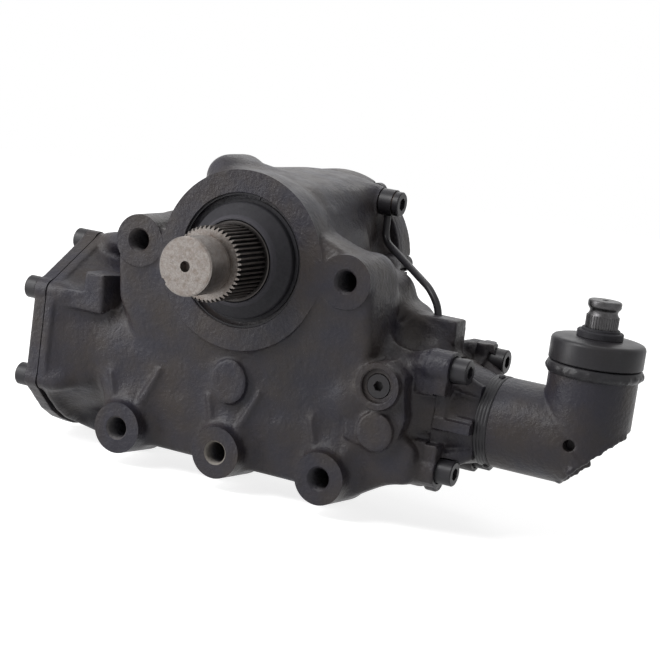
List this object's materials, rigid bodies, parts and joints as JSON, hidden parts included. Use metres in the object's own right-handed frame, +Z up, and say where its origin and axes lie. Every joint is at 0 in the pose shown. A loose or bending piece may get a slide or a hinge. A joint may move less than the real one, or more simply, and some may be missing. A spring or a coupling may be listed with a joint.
{
  "type": "steering gearbox",
  "caption": "Truck recirculating-ball power steering gearbox with a splined output shaft, a housing with mounting bosses and an upright angle drive for the input shaft.",
  "frame": {"origin": "point where the output shaft's axis meets the plane of the mounting bosses", "axes": "-Y out of the mounting face along the output shaft, +X along the piston towards the angle drive, +Z up along the input shaft"},
  "size_m": [0.5486, 0.3057, 0.2853],
  "materials": {
    "black_casting": "black satin paint over a sand casting",
    "black_cap": "smooth black paint",
    "black_screws": "black satin paint",
    "bright_shaft": "turned steel, worn",
    "dark_shaft": "dark oiled steel",
    "inner_steel": "ground, oiled",
    "balls": "polished",
    "rubber": "matt",
    "copper": "dull copper under paint",
    "ring_polymer": "filled sealing polymer"
  },
  "bodies": {
    "housing": {"housing": "black_casting", "adjuster_screw": "black_screws", "adjuster_locknut": "black_screws", "front_bearing": "inner_steel", "rear_bearing": "inner_steel", "shaft_seal": "rubber", "dust_seal": "rubber", "retaining_ring": "black_screws", "end_cover": "black_casting", "end_cover_seal": "rubber", "end_cover_bolts": "black_screws", "side_cover": "black_casting", "side_cover_seal": "rubber", "side_cover_bolts": "black_screws", "valve_cover": "black_casting", "valve_bearing": "inner_steel", "valve_cover_bolts": "black_screws", "worm_bearing": "inner_steel", "adjuster_ring": "black_cap", "drive_housing": "black_casting", "level_bearing": "inner_steel", "upright_bearing": "inner_steel", "lock_bead": "black_cap", "input_cap": "black_cap", "input_dust_seal": "rubber", "front_plug": "black_screws", "banjo_eye": "black_cap", "banjo_washers": "copper", "banjo_bolt": "black_screws", "oil_tube": "black_cap"},
    "output": {"sector_shaft": "bright_shaft"},
    "piston": {"rack_piston": "inner_steel", "piston_ring": "ring_polymer", "ball_train": "balls", "ball_guide": "inner_steel"},
    "worm": {"worm_shaft": "inner_steel", "torsion_bar": "inner_steel", "valve_rotor": "inner_steel", "driven_gear": "inner_steel"},
    "input": {"input_shaft": "dark_shaft", "input_gear": "inner_steel"}
  },
  "joints": [
    {"name": "output_turn", "type": "hinge", "parent": "housing", "child": "output", "pos_m": [0, 0, 0], "axis": [0, -1, 0], "range_deg": [-45, 45]},
    {"name": "piston_slide", "type": "slide", "parent": "housing", "child": "piston", "axis": [1, 0, 0], "range_m": [-0.0425, 0.0425]},
    {"name": "worm_spin", "type": "hinge", "parent": "housing", "child": "worm", "pos_m": [0, 0.08, -0.102], "axis": [1, 0, 0], "range_deg": [-849, 849]},
    {"name": "input_spin", "type": "hinge", "parent": "housing", "child": "input", "pos_m": [0.296, 0.08, 0], "axis": [0, 0, 1], "range_deg": [-849, 849]}
  ],
  "couplings": [
    {"joint": "piston_slide", "follows": "output_turn", "m_per_rad": 0.054},
    {"joint": "worm_spin", "follows": "output_turn", "ratio": -18.85},
    {"joint": "input_spin", "follows": "output_turn", "ratio": -18.85}
  ]
}
